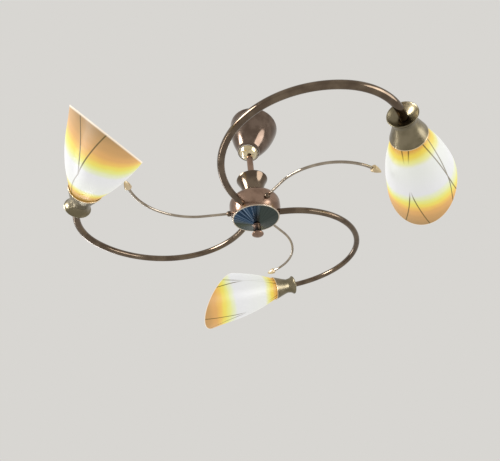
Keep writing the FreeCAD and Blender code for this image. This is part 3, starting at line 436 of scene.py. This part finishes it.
def worked(name, light, dark, patch, metallic, smooth, rough, height):
    """A two-tone finish: patches of a real size, from light to dark and smooth to rough."""
    material, tree = new_finish(name)
    where = add(tree, "TexCoord").outputs["Object"]
    patches = add(tree, "TexNoise", {"Vector": where, "Scale": 1 / patch, "Detail": 4.0})
    grain = add(tree, "TexNoise", {"Vector": where, "Scale": 1 / GRAIN, "Detail": 2.0})
    tint = add(tree, "ValToRGB", [patches], [(0.35, dark), (0.65, light)])
    gloss = add(tree, "MapRange", [patches, 0.3, 0.7, smooth, rough])
    bump = add(tree, "Bump", {"Height": grain, "Strength": 0.3, "Distance": height})
    add(tree, "OutputMaterial", [add(tree, "BsdfPrincipled", {
        "Base Color": tint, "Roughness": gloss, "Normal": bump, "Metallic": metallic})])
    return material


thermoset = ("#e3e0d6", "#d8d4c8", 6 * MM, 0.0, 0.25, 0.38, 0.03 * MM)
finishes = {
    "chrome": nickel_plate,
    "mirror_chrome": mirror_plate,
    "shade_glass": amber_glass["a"],
    "bulb_glass": bulb_glass,
    "zinc_steel": worked("zinc-plated steel", "#b9bcbd", "#9ea3a8", 4 * MM, 1.0,
                         0.25, 0.42, 0.05 * MM),
    "brass": worked("turned brass", "#d9b66a", "#c09a4e", 3 * MM, 1.0, 0.18, 0.3, 0.03 * MM),
    "nylon": worked("natural nylon, moulded", "#e2ded2", "#d6d1c2", 6 * MM, 0.0,
                    0.4, 0.55, 0.04 * MM),
    "terminal_plastic": worked("moulded polyamide", "#e4e1d6", "#d9d5c8", 5 * MM, 0.0,
                               0.35, 0.5, 0.04 * MM),
    "lead_sheath": worked("silicone rubber sheath", "#e6e3da", "#dbd7cc", 8 * MM, 0.0,
                          0.5, 0.65, 0.03 * MM),
    "lampholder_plastic": worked("moulded thermoset, white", *thermoset),
    "ring_plastic": worked("moulded thermoset ring, white", *thermoset),
    "cap_aluminium": worked("rolled aluminium", "#c9c9c6", "#b4b4b0", 2 * MM, 1.0,
                            0.28, 0.42, 0.03 * MM),
}
print(len(finishes), "finishes, one for each slot of the record")

# %% [markdown]
# ## Finishes on the CAD nodes
# Every CAD node gets the finish of its slot in the record, also those that a modelled piece will hide. Some differ
# from the rest of the plate: the drum and its stem carry a painted warm reflection of the lit shades, the canopy a
# little of it, and the ball of the swivel a painted bright reflection, brighter than both.
# %% Dress the CAD nodes
slot_of = {part["node"]: part["material_slot"] for part in frame["record"]["subparts"]}
own_finish = {"hub_drum": warm_reflection_plate, "stem_tube": warm_reflection_plate, "swivel_ball": ball_reflection_plate,
              "canopy": canopy_plate, "canopy_screws": canopy_plate}
for name, obj in frame["nodes"].items():
    obj.data.materials.clear()
    obj.data.materials.append(own_finish.get(name, finishes[slot_of[name]]))
print(len(frame["nodes"]), "CAD nodes finished in", len(finishes), "materials")

# %% [markdown]
# ## Turning on a wheel
# A turned piece starts as a circle. Its edge is extruded and scaled from ring to ring,
# as one would pull a bowl up on a wheel. A profile could be drawn and lathed by a Screw
# modifier too, but rings keep every radius and height readable in the list. Operators
# act on everything selected, so each piece starts with nothing selected.
# %% Rings pulled from a circle
SIDES = 96                       # faces round a large turned piece
POINT = 0.01 * MM                # radius of a pole before its points are merged


def select_only(obj=None):
    """Object mode, with only this object selected."""
    if bpy.context.object and bpy.context.object.mode != "OBJECT":
        bpy.ops.object.mode_set(mode="OBJECT")
    bpy.ops.object.select_all(action="DESELECT")
    bpy.context.view_layer.objects.active = obj
    if obj:
        obj.select_set(True)


def pull_rings(name, rings, sides=SIDES):
    """Extrudes a circle through rings about the Z axis, each a radius and a height in mm."""
    rings = [(max(radius * MM, POINT), height * MM) for radius, height in rings]
    select_only()
    last_r, last_z = rings[0]
    bpy.ops.mesh.primitive_circle_add(vertices=sides, radius=last_r, location=(0, 0, last_z))
    obj = bpy.context.object
    obj.name = obj.data.name = name
    bpy.ops.object.transform_apply(location=True, rotation=True, scale=True)
    bpy.ops.object.mode_set(mode="EDIT")
    bpy.ops.mesh.select_all(action="SELECT")
    if last_r == POINT:
        bpy.ops.mesh.edge_face_add()
    for radius, height in rings[1:]:
        bpy.ops.mesh.extrude_region_move(
            TRANSFORM_OT_translate={"value": (0, 0, height - last_z)})
        bpy.ops.transform.resize(value=(radius / last_r, radius / last_r, 1),
                                 center_override=(0, 0, height))
        last_r, last_z = radius, height
    bpy.ops.mesh.select_all(action="SELECT")
    bpy.ops.mesh.remove_doubles(threshold=3 * POINT)
    bpy.ops.mesh.normals_make_consistent(inside=False)
    bpy.ops.object.mode_set(mode="OBJECT")
    return obj


print("rings have", SIDES, "sides")

# %% [markdown]
# ## Smooth profiles
# A soft curve needs many rings, and they would be dull to write out. A Catmull-Rom curve
# passes through a few measured rings and fills in the rest, without overshooting much.
# %% Rings on a smooth curve
def arc_rings(points, steps=10):
    """Rings on smooth curves through (radius, height) points."""
    rings = []
    ends = [points[0]] + list(points) + [points[-1]]
    for before, start, end, after in zip(ends, ends[1:], ends[2:], ends[3:]):
        for i in range(steps):
            t = i / steps
            rings.append([0.5 * (2 * b + (c - a) * t + (2 * a - 5 * b + 4 * c - d) * t * t
                                 + (3 * b - a - 3 * c + d) * t ** 3)
                          for a, b, c, d in zip(before, start, end, after)])
    return rings + [list(points[-1])]


print("a curve through 3 rings has", len(arc_rings([(1, 0), (2, 1), (1, 2)])), "rings")

# %% [markdown]
# ## Moving and copying
# A piece is modelled upright on the Z axis. It is then turned and moved to its place on
# the lamp, and that place is applied, so that its object stays at the origin as a CAD
# node's does. What repeats is modelled once and copied, each copy with its own mesh.
# %% Place, copy and clear away
def frame_on(axis):
    """Turn that takes Z to an axis and keeps X level."""
    side = Vector((0, 0, 1)).cross(axis).normalized()
    return Matrix((side, axis.cross(side), axis)).transposed()


def place(obj, at, axis, turn=0.0):
    """Turns a piece from the Z axis to its own axis, moves it there and applies both."""
    select_only(obj)
    obj.rotation_mode = "QUATERNION"
    obj.rotation_quaternion = (frame_on(axis) @ Matrix.Rotation(turn, 3, "Z")).to_quaternion()
    obj.location = at
    bpy.ops.object.transform_apply(location=True, rotation=True, scale=True)


def another(model, name):
    """A copy of a finished model, with its own mesh."""
    select_only(model)
    bpy.ops.object.duplicate()
    made = bpy.context.object
    made.name = made.data.name = name
    return made


def clear_away(model):
    """Removes a model once its copies are made."""
    select_only(model)
    bpy.ops.object.delete()


print("level frame on X:", [tuple(row) for row in frame_on(Vector((1, 0, 0)))])

# %% [markdown]
# ## Dressing a piece
# Each modelled piece is shaded smooth except across its sharp edges, gets its finish, and is told which body it
# rides on. Its CAD node is hidden, and its box is compared with that node's.
# %% Dress a piece
SHARP = math.radians(35)         # edges sharper than this stay sharp


def dress(obj, body, slot, node, finish=None):
    """Shades a piece, finishes it, rides it on its body and hides its CAD node."""
    select_only(obj)
    bpy.ops.object.shade_smooth_by_angle(angle=SHARP)
    obj.data.materials.clear()
    obj.data.materials.append(finish or finishes[slot])
    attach(obj, body)
    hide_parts(node)
    low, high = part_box(node)
    mine = [v.co for v in obj.data.vertices]
    gap = max(max(abs(min(c[i] for c in mine) - low[i]),
                  abs(max(c[i] for c in mine) - high[i])) for i in range(3))
    print(obj.name, len(obj.data.polygons), "faces, corners within %.2f mm" % (gap / MM))


print("edges over", round(math.degrees(SHARP)), "degrees stay sharp")

# %% [markdown]
# ## The glass shades
# Each shade is a mould-blown horn whose mouth is cut on a slant and fire-polished. It
# could be lathed and cut by a boolean, but pulled rings and a bisect keep clean rows of
# faces: out along the skin, over the end, back down the inside, then one slanting cut
# through both skins, a bridge between the two cut edges, and a bevel for the rounded lip.
# %% One horn, modelled on the Z axis
HORN = [(25.6, 0), (42.4, 46.2), (53.4, 92.4), (59.6, 138.6), (67.0, 184.8), (69.5, 198)]
WALL = 3.0                       # the glass's thickness, in mm as the rings are
LIP_ROUND = 1.1 * MM             # how far the lip's edges are rounded
LIP_EDGE = math.radians(38)      # which edges are sharp enough to be the lip's


def keep_places(obj, name):
    """Stores each point's place in the model as an attribute, for patterns to follow."""
    here = obj.data.attributes.new(name, "FLOAT_VECTOR", "POINT")
    for vertex, value in zip(obj.data.vertices, here.data):
        value.vector = vertex.co


def horn(name):
    """A horn on the Z axis, its holder's rim at height 0, its mouth cut on a slant."""
    skin = arc_rings(HORN, 9)
    # the neck inside the holder, the outer skin, and the inner skin back to the neck
    rings = [(14.8, -9.2), (21.4, -9.2), (22.6, -8.6), (23.4, -6.8)] + skin
    rings += [(r - WALL, s) for r, s in reversed(skin)]
    obj = pull_rings(name, rings + [(20.4, -5.6), (14.8, -6.2), (14.8, -9.2)], 128)
    bpy.ops.object.mode_set(mode="EDIT")
    bpy.ops.mesh.select_all(action="SELECT")
    bpy.ops.mesh.bisect(plane_co=(0, 0, MOUTH_S), plane_no=MOUTH_OUT, clear_outer=True)
    bpy.ops.mesh.select_all(action="DESELECT")
    bpy.ops.mesh.select_non_manifold()
    bpy.ops.mesh.bridge_edge_loops()
    bpy.ops.mesh.select_all(action="SELECT")
    bpy.ops.mesh.normals_make_consistent(inside=False)
    bpy.ops.object.mode_set(mode="OBJECT")
    lip = obj.modifiers.new("rounded lip", "BEVEL")
    lip.width = LIP_ROUND
    lip.segments = 3
    lip.limit_method = "ANGLE"
    lip.angle_limit = LIP_EDGE
    select_only(obj)
    bpy.ops.object.modifier_apply(modifier=lip.name)
    keep_places(obj, "in_shade")
    return obj


model_horn = horn("model_horn")
print("the horn has", len(model_horn.data.vertices), "points")

# %% [markdown]
# ## Three shades from one horn
# The horn is copied for each holder, moved to the holder's rim and turned on its axis, so
# that the long side of its slanting mouth hangs where the fitter left it.
# %% Three glass shades
GLASS_TURN = {"a": 299.7, "b": 299.2, "c": 238.8}       # degrees about the shade's axis
for k in LETTERS:
    glass = another(model_horn, "glass_" + k)
    place(glass, holder_at[k], holder_axis[k], math.radians(GLASS_TURN[k]))
    dress(glass, "shade_" + k, "shade_glass", "shade_" + k, amber_glass[k])
clear_away(model_horn)

# %% [markdown]
# ## Three bulbs from one
# Each bulb is blown to a candle shape: a narrow neck, a belly near the cap, and a tip. It
# is pulled on the wheel too, as a closed shell, and copied into each holder.
# %% Blown bulbs
def blown_bulb(name):
    """A candle bulb on the Z axis, its heights from the holder's rim."""
    neck, belly, tip = 11.0, 37.0, 79.0
    rings = [(0, neck), (6.5, neck)] + arc_rings([
        (6.5, neck), (12.6, neck + 10), (17.5, belly), (12.6, belly + 24), (2.8, tip - 1.2)], 9)[1:]
    return pull_rings(name, rings + [(1.4, tip - 0.2), (0, tip)], 64)


model_bulb = blown_bulb("model_bulb")
for k in LETTERS:
    bulb = another(model_bulb, "blown_bulb_" + k)
    place(bulb, holder_at[k], holder_axis[k])
    dress(bulb, "bulb_" + k, "bulb_glass", "bulb_" + k)
clear_away(model_bulb)

# %% [markdown]
# ## Cup, mirror cone and finial
# The cup on the hub is a spun trumpet with its edge rolled inwards. The cone under the
# hub is a spun disc, polished till it mirrors the room, and the finial that holds it is
# turned from bar: a collar, a long hollow neck, and a foot with a softly domed end.
# %% Spun and turned pieces of the hub
# foot, outer skin, rolled edge, inner skin
cup = [(6.5, 43.5), (22.0, 43.5)]
cup += arc_rings([(22.0, 43.5), (20.1, 50.5), (19.5, 57.5), (23.7, 76.5), (30.8, 91.5)], 8)[1:]
cup += [(31.0, 92.4), (30.7, 93.1), (29.9, 93.5), (29.1, 93.2), (28.9, 92.4)]
cup += arc_rings([(28.9, 92.4), (22.4, 77.0), (18.3, 57.5), (18.3, 44.7)], 8)[1:]
cup += [(6.5, 44.7), (6.5, 43.5)]
trumpet = pull_rings("spun_cup", cup)

# upper face, rolled edge, lower face
cone = [(3.2, -12.95), (42.4, 0), (44.0, 0), (44.35, -0.25), (44.5, -0.6), (44.35, -0.95)]
cone += [(44.0, -1.2), (42.4, -1.2), (3.2, -14.15), (3.2, -12.95)]
mirror_cone = pull_rings("mirror_cone", cone, 192)

# collar, neck, domed foot
knob = [(0, -14.45), (6.8, -14.45), (7.3, -14.7), (7.6, -15.3), (7.6, -16.0), (7.2, -16.5)]
knob += arc_rings([(7.2, -16.5), (7.1, -24.8), (8.3, -31.0), (10.9, -34.2)], 8)[1:]
knob += [(11.0, -35.2), (10.6, -36.4), (9.5, -37.3), (5.5, -38.6), (0, -39.0)]
finial = pull_rings("turned_finial", knob, 64)

for piece in (trumpet, mirror_cone, finial):
    place(piece, hub_at, Vector((0, 0, 1)))
dress(trumpet, "lamp", "chrome", "stem_cup")
dress(mirror_cone, "lamp", "mirror_chrome", "hub_cover")
dress(finial, "finial", "chrome", "finial", warm_reflection_plate)

# %% [markdown]
# ## Bent tubes
# A bent tube is a circle that travels. It is extruded along each straight run and spun
# round the centre of each bend, as a tube bender would swing it. The spin turns against
# the usual sense for a positive angle, hence the minus sign.
# %% A tube that follows runs and bends
BEND_STEP = 2                    # degrees of bend from ring to ring
MERGE = 0.01 * MM                # points nearer than this are one


def bent_bar(name, radius, start, ahead, moves, sides=48):
    """Makes a bar of runs, ("run", length), and bends, ("bend", radius, angle, axis).

    Gives the bar, the place of its end and its direction there.
    """
    select_only()
    bpy.ops.mesh.primitive_circle_add(vertices=sides, radius=radius)
    bar = bpy.context.object
    bar.name = bar.data.name = name
    place(bar, start, ahead)
    at, to = start.copy(), ahead.copy()
    bpy.ops.object.mode_set(mode="EDIT")
    bpy.ops.mesh.select_all(action="SELECT")
    bpy.ops.mesh.edge_face_add()
    for kind, *size in moves:
        if kind == "run":
            bpy.ops.mesh.extrude_region_move(
                TRANSFORM_OT_translate={"value": to * size[0]})
            at = at + to * size[0]
        else:
            bend, angle, axis = size
            lever = to.cross(axis) * bend
            turn = Matrix.Rotation(angle, 3, axis)
            steps = max(8, round(math.degrees(angle) / BEND_STEP))
            bpy.ops.mesh.spin(steps=steps, angle=-angle, center=at - lever, axis=axis)
            at, to = at - lever + turn @ lever, turn @ to
    bpy.ops.mesh.select_all(action="SELECT")
    bpy.ops.mesh.remove_doubles(threshold=MERGE)
    bpy.ops.mesh.normals_make_consistent(inside=False)
    bpy.ops.object.mode_set(mode="OBJECT")
    return bar, at, to


def bearing(azimuth, drop):
    """Unit vector from a direction round the hub and an angle below level, in degrees."""
    a, d = math.radians(azimuth), math.radians(drop)
    return Vector((math.cos(d) * math.cos(a), math.cos(d) * math.sin(a), -math.sin(d)))


def bend_axis(ahead, roll):
    """Axis of a bend to the left of a direction, rolled about that direction."""
    level = Vector((0, 0, 1)).cross(ahead).normalized()
    return Matrix.Rotation(math.radians(roll), 3, ahead) @ ahead.cross(level)


print("a bearing of 90 degrees, 30 below level, is", bearing(90, 30)[:])

# %% [markdown]
# ## The arms
# Each arm leaves the drum low down, swings round in one large bend and ends in a small
# bend that aims it along its shade. The hand-bent originals differ by a degree or two,
# and so do these.
# %% Three arms
FIRST_ARM = -119.3                                    # direction of the first arm, degrees
ARM_R, ARM_BEND, ARM_SWEEP = 6 * MM, 161.5 * MM, math.radians(125.5)
AIMING_BEND = 111.3 * MM                              # radius of the small bend
ARM_ROOT, ARM_LIFT = 47.03 * MM, 9.9 * MM             # out from the hub's axis, and up
ARM_IN = 1 * MM                                       # how far its end is inside the drum
ARM_RUNS = 9 * MM, 11 * MM                            # straight at the root and the end
ARMS = {"a": (-1.9, -4.5), "b": (0.25, -1.1), "c": (1.6, -0.5)}    # drop and roll, degrees

for number, k in enumerate(LETTERS):
    azimuth = FIRST_ARM + 120 * number
    drop, roll = ARMS[k]
    out = bearing(azimuth, drop)
    start = hub_at + bearing(azimuth, 0) * ARM_ROOT + Vector((0, 0, ARM_LIFT)) - out * ARM_IN
    axis = bend_axis(out, roll)
    aim = (Matrix.Rotation(ARM_SWEEP, 3, axis) @ out).cross(holder_axis[k])
    arm, _, _ = bent_bar("bent_arm_" + k, ARM_R, start, out, [
        ("run", ARM_RUNS[0]), ("bend", ARM_BEND, ARM_SWEEP, axis),
        ("bend", AIMING_BEND, math.asin(aim.length), aim.normalized()), ("run", ARM_RUNS[1])])
    dress(arm, "lamp", "chrome", "arm_" + k)

# %% [markdown]
# ## The spears
# The end of each rod carries a turned spear: a rounded collar and a long soft point. One
# is turned on the lathe of rings, and copied for each rod.
# %% One spear
def turned_spear(name):
    """A spear point with its shoulder at height 0."""
    rings = [(0, -0.2), (2.5, -0.2), (2.5, -4), (3.7, -4), (4.1, -3.8)]
    rings += [(5.9, -1.6), (6.25, -1.0), (6.25, -0.3), (5.95, 0.5)]
    rings += arc_rings([(5.95, 0.5), (5.5, 4.0), (4.4, 8.2), (2.9, 12.0), (1.7, 14.6)], 5)[1:]
    return pull_rings(name, rings + [(1.2, 15.5), (0.4, 16), (0, 16)], 48)


model_spear = turned_spear("model_spear")
print("the spear has", len(model_spear.data.vertices), "points")

# %% [markdown]
# ## The rods
# Each rod leaves the drum a little higher than the arms, between two of them, bends
# twice, and ends in its spear.
# %% Three rods
ROD_R = 2.5 * MM
# each bend's radius and angle
ROD_BENDS = ((117.5 * MM, math.radians(40.9)), (99.5 * MM, math.radians(50.2)))
ROD_ROOT, ROD_LIFT = 48.30 * MM, 17.2 * MM            # out from the hub's axis, and up
ROD_IN = 8 * MM                                       # how far its end is inside the collar
ROD_RUN = 58 * MM                                     # straight before the first bend
PAST_ARM = 58.5                                       # degrees on from the arm before it
# drop, swing and roll, degrees
RODS = {"a": (6.2, 2.5, -6.0), "b": (4.0, -3.2, -1.9), "c": (-0.2, 1.2, 1.0)}

for number, k in enumerate(LETTERS):
    azimuth = FIRST_ARM + 120 * number + PAST_ARM
    drop, swing, roll = RODS[k]
    out = bearing(azimuth + swing, drop)
    start = hub_at + bearing(azimuth, 0) * ROD_ROOT + Vector((0, 0, ROD_LIFT)) - out * ROD_IN
    axis = bend_axis(out, roll)
    rod, end, end_to = bent_bar("bent_rod_" + k, ROD_R, start, out, [
        ("run", ROD_RUN)] + [("bend", bend, sweep, axis) for bend, sweep in ROD_BENDS], 32)
    dress(rod, "rod_" + k, "chrome", "rod_" + k, rod_plate)
    spear = another(model_spear, "turned_tip_" + k)
    place(spear, end, end_to)
    dress(spear, "rod_" + k, "chrome", "rod_tip_" + k, spear_glow_plate)
clear_away(model_spear)

# %% [markdown]
# ## The holders
# Each holder is a spun hourglass: a cup that takes the glass, a waist, and a shallow dish that flares towards the
# arm. Its edges are rolled, so each ends in a small bead; on the bead by the glass the finish draws a thin bright
# line, a painted highlight.
# %% Spun holders
def spun_holder(name):
    """A holder with its rim at height 0: dish, bead, waist, bowl, rim and inner skin."""
    rings = [(5.0, -34.0), (5.0, -36.0), (6.4, -36.0), (6.4, -41.5), (6.8, -42.2)]
    rings += arc_rings([(6.8, -42.2), (11.6, -44.6), (16.4, -47.8), (19.9, -50.9)], 6)[1:]
    rings += [(20.6, -51.7), (21.3, -52.0), (21.8, -51.8), (22.0, -51.2), (21.7, -50.4)]
    rings += arc_rings([(21.7, -50.4), (19.2, -47.2), (17.6, -42.5), (16.6, -35.0)], 7)[1:]
    rings += arc_rings([(16.6, -35.0), (19.0, -26.0), (22.0, -17.5), (25.2, -8.6),
                        (27.3, -2.5)], 6)[1:]
    rings += [(27.75, -1.6), (27.9, -0.9), (27.7, -0.2), (27.2, 0), (26.75, -0.2), (26.5, -0.9)]
    rings += arc_rings([(26.5, -0.9), (23.9, -8.8), (20.8, -17.5), (17.8, -26.0),
                        (15.4, -34.0)], 5)[1:]
    return pull_rings(name, rings + [(5.0, -34.0)])


model_holder = spun_holder("model_holder")
keep_places(model_holder, "in_holder")
for k in LETTERS:
    holder = another(model_holder, "spun_holder_" + k)
    place(holder, holder_at[k], holder_axis[k])
    dress(holder, "lamp", "chrome", "holder_" + k, holder_glow_plate)
clear_away(model_holder)

# %% [markdown]
# ## The lamps of the studio
# Soft lamps stand well away from the object: a large one to the left and a larger, weaker
# one to the right light the glass evenly. A small one and a strip behind it add little
# light, but the polished tubes mirror them as long bright streaks.
# %% Soft lamps
def soft_lamp(name, away, size, power, flat=1.0):
    """A round or flattened soft lamp, this far away from the object and turned to it."""
    data = bpy.data.lights.new(name, "AREA")
    data.shape = "ELLIPSE"
    data.size = size
    data.size_y = size * flat
    data.energy = power
    data.spread = math.radians(120)
    lamp = bpy.data.objects.new(name, data)
    bpy.context.scene.collection.objects.link(lamp)
    lamp.location = middle + Vector(away)
    lamp.rotation_mode = "QUATERNION"
    lamp.rotation_quaternion = (-Vector(away)).to_track_quat("-Z", "Y")


middle = (Vector(cad_box[0]) + Vector(cad_box[1])) / 2
soft_lamp("key", (-2.6, -1.0, 0.6), 1.4, 40)
soft_lamp("fill", (2.4, -1.2, -0.5), 2.2, 26)
soft_lamp("back", (-1.9, 2.4, 0.1), 0.8, 5)
soft_lamp("strip", (-2.7, 0.9, -0.65), 1.8, 6, flat=0.14)
print("lamps stand round", middle[:])

# %% [markdown]
# ## The floor
# A wide pale floor lies well below the lamp. The eye and the mirrors see most of its own
# colour and only a quarter of its shading, so that it runs evenly into the room.
# %% Pale floor
FLOOR_Z = -1.45
FLOOR_PLAIN = 0.75               # how much of the floor's own colour is seen unshaded
MOTTLE = 330 * MM                # a patch of the floor

select_only()
bpy.ops.mesh.primitive_plane_add(size=80, location=(middle.x, middle.y, FLOOR_Z))
floor = bpy.context.object
floor.name = floor.data.name = "floor"
material, tree = new_finish("pale matt floor")
where = add(tree, "TexCoord").outputs["Object"]
mottle = add(tree, "TexNoise", {"Vector": where, "Scale": 1 / MOTTLE, "Detail": 2.0})
tint = add(tree, "ValToRGB", [mottle], [(0.3, "#d6d4d0"), (0.7, "#dad8d4")])
shaded = add(tree, "BsdfPrincipled", {"Base Color": tint, "Roughness": 0.8})
plain = add(tree, "Emission", {"Color": tint, "Strength": 1.0})
ray = add(tree, "LightPath").outputs
seen = add(tree, "Math", [ray["Is Camera Ray"], ray["Is Glossy Ray"]], operation="MAXIMUM")
share = add(tree, "Math", [seen, FLOOR_PLAIN], operation="MULTIPLY")
add(tree, "OutputMaterial", [add(tree, "MixShader", [share, shaded, plain])])
floor.data.materials.append(material)
print("floor at", FLOOR_Z)

# %% [markdown]
# ## The room
# The pale background is only what the camera, a mirror or clear glass sees: the light
# that falls on the object comes from a dimmer room and from the lamps.
# %% Pale room
room = bpy.data.worlds.new("pale room")
bpy.context.scene.world = room
room.use_nodes = True
tree = room.node_tree
tree.nodes.clear()
ray = add(tree, "LightPath").outputs
mirrored = add(tree, "Math", [ray["Is Glossy Ray"], ray["Is Transmission Ray"]],
               operation="MAXIMUM")
seen = add(tree, "Math", [ray["Is Camera Ray"], mirrored], operation="MAXIMUM")
light = add(tree, "Background", {"Color": linear("#ffffff"), "Strength": 0.5})
pale = add(tree, "Background", {"Color": linear("#d8d6d2"), "Strength": 1.0})
add(tree, "OutputWorld", [add(tree, "MixShader", [seen, light, pale])])
bpy.context.scene.view_settings.view_transform = "Standard"
print(room.name, "of", len(tree.nodes), "nodes")
